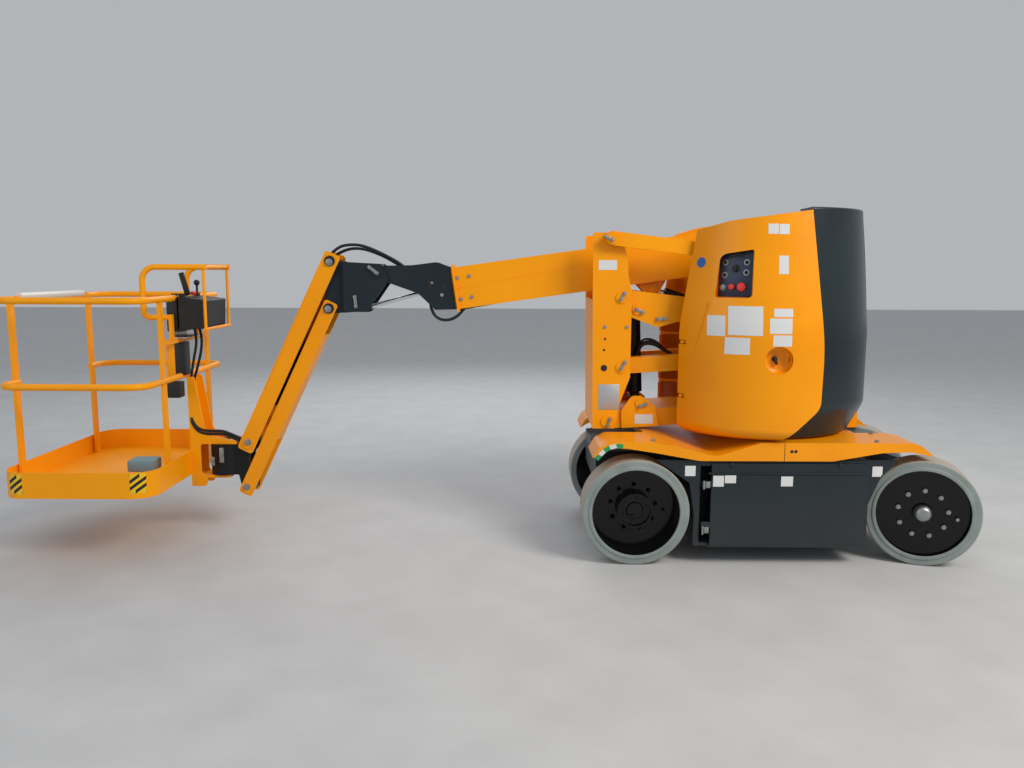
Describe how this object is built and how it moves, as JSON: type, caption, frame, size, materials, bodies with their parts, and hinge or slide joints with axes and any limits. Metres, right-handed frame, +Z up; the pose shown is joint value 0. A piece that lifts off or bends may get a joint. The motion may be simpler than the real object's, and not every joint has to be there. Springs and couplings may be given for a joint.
{
  "type": "articulating boom lift",
  "caption": "Electric articulating boom lift with a folded mast, telescopic boom, jib and turning basket, on four wheels.",
  "frame": {"origin": "on the floor in the middle of the overall box, basket end at -X, steered wheels at +X", "axes": "+X along the machine towards the steered wheels, +Y across to its far side, +Z up"},
  "size_m": [5.5188, 1.366, 1.988],
  "materials": {
    "orange_paint": "gloss",
    "dark_grey_paint": "satin",
    "black_paint": "satin",
    "grey_tyre": "matt",
    "zinc_steel": "satin",
    "chrome_rod": "polished",
    "yellow_paint": "gloss",
    "black_plastic": "matt",
    "dark_cover": "satin",
    "orange_cover": "gloss",
    "battery_case": "matt"
  },
  "bodies": {
    "chassis": {"chassis_frame": "dark_grey_paint", "chassis_cover": "orange_cover", "rear_axle": "dark_grey_paint", "front_axle": "dark_grey_paint", "battery_near": "battery_case", "battery_far": "battery_case", "slew_ring": "zinc_steel"},
    "knuckle_near": {"knuckle_near": "dark_grey_paint"},
    "knuckle_far": {"knuckle_far": "dark_grey_paint"},
    "front_wheel_near": {"tyre_front_near": "grey_tyre", "rim_front_near": "black_paint"},
    "front_wheel_far": {"tyre_front_far": "grey_tyre", "rim_front_far": "black_paint"},
    "rear_wheel_near": {"tyre_rear_near": "grey_tyre", "rim_rear_near": "black_paint"},
    "rear_wheel_far": {"tyre_rear_far": "grey_tyre", "rim_rear_far": "black_paint"},
    "side_door_near": {"side_door_near": "dark_grey_paint"},
    "side_door_far": {"side_door_far": "dark_grey_paint"},
    "turntable": {"turntable_frame": "orange_paint", "tower_pins": "zinc_steel", "counterweight": "dark_grey_paint", "rear_cover": "dark_cover", "power_unit": "black_paint"},
    "hood_near": {"hood_near": "orange_cover"},
    "hood_far": {"hood_far": "orange_cover"},
    "lower_arm": {"lower_arm": "orange_paint"},
    "lower_link": {"lower_link": "orange_paint"},
    "mid_post": {"mid_post": "orange_paint", "mid_post_pins": "zinc_steel"},
    "upper_arm": {"upper_arm": "orange_paint"},
    "upper_link": {"upper_link": "orange_paint"},
    "top_post": {"top_post": "orange_paint", "top_post_pins": "zinc_steel"},
    "arm_barrel": {"arm_cylinder_barrel": "black_paint"},
    "arm_rod": {"arm_cylinder_rod": "chrome_rod"},
    "boom": {"boom_outer": "orange_paint"},
    "boom_barrel": {"boom_cylinder_barrel": "black_paint"},
    "boom_rod": {"boom_cylinder_rod": "chrome_rod"},
    "inner_boom": {"boom_inner": "orange_paint", "boom_head": "dark_grey_paint"},
    "level_barrel": {"level_barrel": "black_paint"},
    "level_rod": {"level_rod": "chrome_rod"},
    "jib_bracket": {"jib_bracket": "dark_grey_paint", "jib_bracket_pins": "zinc_steel"},
    "jib_upper": {"jib_upper": "orange_paint"},
    "jib_lower": {"jib_lower": "orange_paint"},
    "jib_foot": {"jib_foot": "black_paint", "jib_foot_pins": "zinc_steel"},
    "jib_barrel": {"jib_cylinder_barrel": "black_paint"},
    "jib_rod": {"jib_cylinder_rod": "chrome_rod"},
    "basket": {"basket_floor": "yellow_paint", "basket_rails": "yellow_paint", "basket_support": "yellow_paint", "control_box": "black_plastic", "console_guard": "yellow_paint"},
    "gate_bar": {"gate_bar": "yellow_paint"}
  },
  "joints": [
    {"name": "slew", "type": "hinge", "parent": "chassis", "child": "turntable", "pos_m": [1.60503, 0, 0.712], "axis": [0, 0, 1], "range_deg": [-177.5, 177.5]},
    {"name": "arm_lift", "type": "hinge", "parent": "turntable", "child": "lower_arm", "pos_m": [1.96503, 0, 0.8375], "axis": [0, 1, 0], "range_deg": [0, 68]},
    {"name": "lower_link_turn", "type": "hinge", "parent": "turntable", "child": "lower_link", "pos_m": [2.04203, 0, 1.1615], "axis": [0, 1, 0], "range_deg": [0, 68]},
    {"name": "mid_post_turn", "type": "hinge", "parent": "lower_arm", "child": "mid_post", "pos_m": [0.65049, 0, 0.7571], "axis": [0, 1, 0], "range_deg": [-68, 0]},
    {"name": "upper_arm_turn", "type": "hinge", "parent": "mid_post", "child": "upper_arm", "pos_m": [0.71999, 0, 1.488], "axis": [0, -1, 0], "range_deg": [0, 72.01]},
    {"name": "upper_link_turn", "type": "hinge", "parent": "mid_post", "child": "upper_link", "pos_m": [0.65499, 0, 1.826], "axis": [0, -1, 0], "range_deg": [0, 72.01]},
    {"name": "top_post_turn", "type": "hinge", "parent": "upper_arm", "child": "top_post", "pos_m": [1.91104, 0, 1.34176], "axis": [0, -1, 0], "range_deg": [-72.01, 0]},
    {"name": "arm_cylinder_swing", "type": "hinge", "parent": "lower_arm", "child": "arm_barrel", "pos_m": [0.84044, 0, 0.86189], "axis": [0, 1, 0], "range_deg": [-65.94, 0]},
    {"name": "arm_cylinder_stroke", "type": "slide", "parent": "arm_barrel", "child": "arm_rod", "axis": [-0.0457, 0, 0.999], "range_m": [0, 0.3825]},
    {"name": "boom_luff", "type": "hinge", "parent": "top_post", "child": "boom", "pos_m": [1.75504, 0, 1.81976], "axis": [0, 1, 0], "range_deg": [0, 83]},
    {"name": "boom_cylinder_swing", "type": "hinge", "parent": "top_post", "child": "boom_barrel", "pos_m": [1.70604, 0, 1.26976], "axis": [0, 1, 0], "range_deg": [0, 58.08]},
    {"name": "boom_cylinder_stroke", "type": "slide", "parent": "boom_barrel", "child": "boom_rod", "axis": [-0.9504, 0, 0.3111], "range_m": [0, 0.6117]},
    {"name": "telescope", "type": "slide", "parent": "boom", "child": "inner_boom", "axis": [-0.99, 0, -0.1409], "range_m": [0, 1.3]},
    {"name": "jib_bracket_level", "type": "hinge", "parent": "inner_boom", "child": "jib_bracket", "pos_m": [-0.72474, 0, 1.62844], "axis": [0, 1, 0], "range_deg": [-83, 0]},
    {"name": "level_cylinder_swing", "type": "hinge", "parent": "inner_boom", "child": "level_barrel", "pos_m": [-0.43935, 0, 1.51121], "axis": [0, 1, 0], "range_deg": [0, 1.34]},
    {"name": "level_cylinder_stroke", "type": "slide", "parent": "level_barrel", "child": "level_rod", "axis": [-0.9659, 0, -0.2588], "range_m": [-0.2891, 0]},
    {"name": "jib_lift", "type": "hinge", "parent": "jib_bracket", "child": "jib_upper", "pos_m": [-1.00674, 0, 1.69344], "axis": [0, 1, 0], "range_deg": [-5.8, 134.2]},
    {"name": "jib_lower_turn", "type": "hinge", "parent": "jib_bracket", "child": "jib_lower", "pos_m": [-1.02274, 0, 1.41044], "axis": [0, 1, 0], "range_deg": [-5.8, 134.2]},
    {"name": "jib_foot_level", "type": "hinge", "parent": "jib_upper", "child": "jib_foot", "pos_m": [-1.54037, 0, 0.57968], "axis": [0, 1, 0], "range_deg": [-134.2, 5.8]},
    {"name": "jib_cylinder_swing", "type": "hinge", "parent": "jib_bracket", "child": "jib_barrel", "pos_m": [-1.02274, 0, 1.41044], "axis": [0, 1, 0], "range_deg": [-5.75, 132.96]},
    {"name": "jib_cylinder_stroke", "type": "slide", "parent": "jib_barrel", "child": "jib_rod", "axis": [-0.5437, 0, -0.8393], "range_m": [-0.0249, 0.574]},
    {"name": "basket_turn", "type": "hinge", "parent": "jib_foot", "child": "basket", "pos_m": [-1.70437, 0, 0.572], "axis": [0, 0, 1], "range_deg": [-70, 70]},
    {"name": "gate_lift", "type": "hinge", "parent": "basket", "child": "gate_bar", "pos_m": [-2.73537, 0.385, 1.471], "axis": [-1, 0, 0], "range_deg": [0, 95]},
    {"name": "steer_near", "type": "hinge", "parent": "chassis", "child": "knuckle_near", "pos_m": [2.43003, -0.45, 0.3], "axis": [0, 0, 1], "range_deg": [-20, 56]},
    {"name": "steer_far", "type": "hinge", "parent": "chassis", "child": "knuckle_far", "pos_m": [2.43003, 0.45, 0.3], "axis": [0, 0, 1], "range_deg": [-20, 56]},
    {"name": "front_wheel_near_spin", "type": "hinge", "parent": "knuckle_near", "child": "front_wheel_near", "pos_m": [2.43003, -0.45, 0.3], "axis": [0.309, 0.9511, 0], "continuous": true},
    {"name": "rear_wheel_near_spin", "type": "hinge", "parent": "chassis", "child": "rear_wheel_near", "pos_m": [0.78003, -0.45, 0.3], "axis": [0, 1, 0], "continuous": true},
    {"name": "hood_near_swing", "type": "hinge", "parent": "turntable", "child": "hood_near", "pos_m": [1.06003, -0.345, 0.715], "axis": [0, 0, -1], "range_deg": [0, 95]},
    {"name": "side_door_near_swing", "type": "hinge", "parent": "chassis", "child": "side_door_near", "pos_m": [1.15003, -0.5925, 0.11], "axis": [0, 0, -1], "range_deg": [0, 100]},
    {"name": "front_wheel_far_spin", "type": "hinge", "parent": "knuckle_far", "child": "front_wheel_far", "pos_m": [2.43003, 0.45, 0.3], "axis": [0.309, 0.9511, 0], "continuous": true},
    {"name": "rear_wheel_far_spin", "type": "hinge", "parent": "chassis", "child": "rear_wheel_far", "pos_m": [0.78003, 0.45, 0.3], "axis": [0, 1, 0], "continuous": true},
    {"name": "hood_far_swing", "type": "hinge", "parent": "turntable", "child": "hood_far", "pos_m": [1.06003, 0.345, 0.715], "axis": [0, 0, 1], "range_deg": [0, 95]},
    {"name": "side_door_far_swing", "type": "hinge", "parent": "chassis", "child": "side_door_far", "pos_m": [1.15003, 0.5925, 0.11], "axis": [0, 0, 1], "range_deg": [0, 100]}
  ],
  "couplings": [
    {"joint": "lower_link_turn", "follows": "arm_lift", "ratio": 1},
    {"joint": "mid_post_turn", "follows": "arm_lift", "ratio": -1},
    {"joint": "upper_arm_turn", "follows": "arm_lift", "ratio": 1.0588},
    {"joint": "upper_link_turn", "follows": "arm_lift", "ratio": 1.0588},
    {"joint": "top_post_turn", "follows": "arm_lift", "ratio": -1.0588},
    {"joint": "arm_cylinder_swing", "follows": "arm_lift", "ratio": -0.9697},
    {"joint": "arm_cylinder_stroke", "follows": "arm_lift", "m_per_rad": 0.32226},
    {"joint": "boom_cylinder_swing", "follows": "boom_luff", "ratio": 0.69974},
    {"joint": "boom_cylinder_stroke", "follows": "boom_luff", "m_per_rad": 0.42219},
    {"joint": "jib_bracket_level", "follows": "boom_luff", "ratio": -1},
    {"joint": "level_cylinder_swing", "follows": "boom_luff", "ratio": 0.016029},
    {"joint": "level_cylinder_stroke", "follows": "boom_luff", "m_per_rad": -0.19957},
    {"joint": "jib_lower_turn", "follows": "jib_lift", "ratio": 1},
    {"joint": "jib_foot_level", "follows": "jib_lift", "ratio": -1},
    {"joint": "jib_cylinder_swing", "follows": "jib_lift", "ratio": 0.99075},
    {"joint": "jib_cylinder_stroke", "follows": "jib_lift", "m_per_rad": 0.24502},
    {"joint": "steer_far", "follows": "steer_near", "ratio": 1}
  ]
}
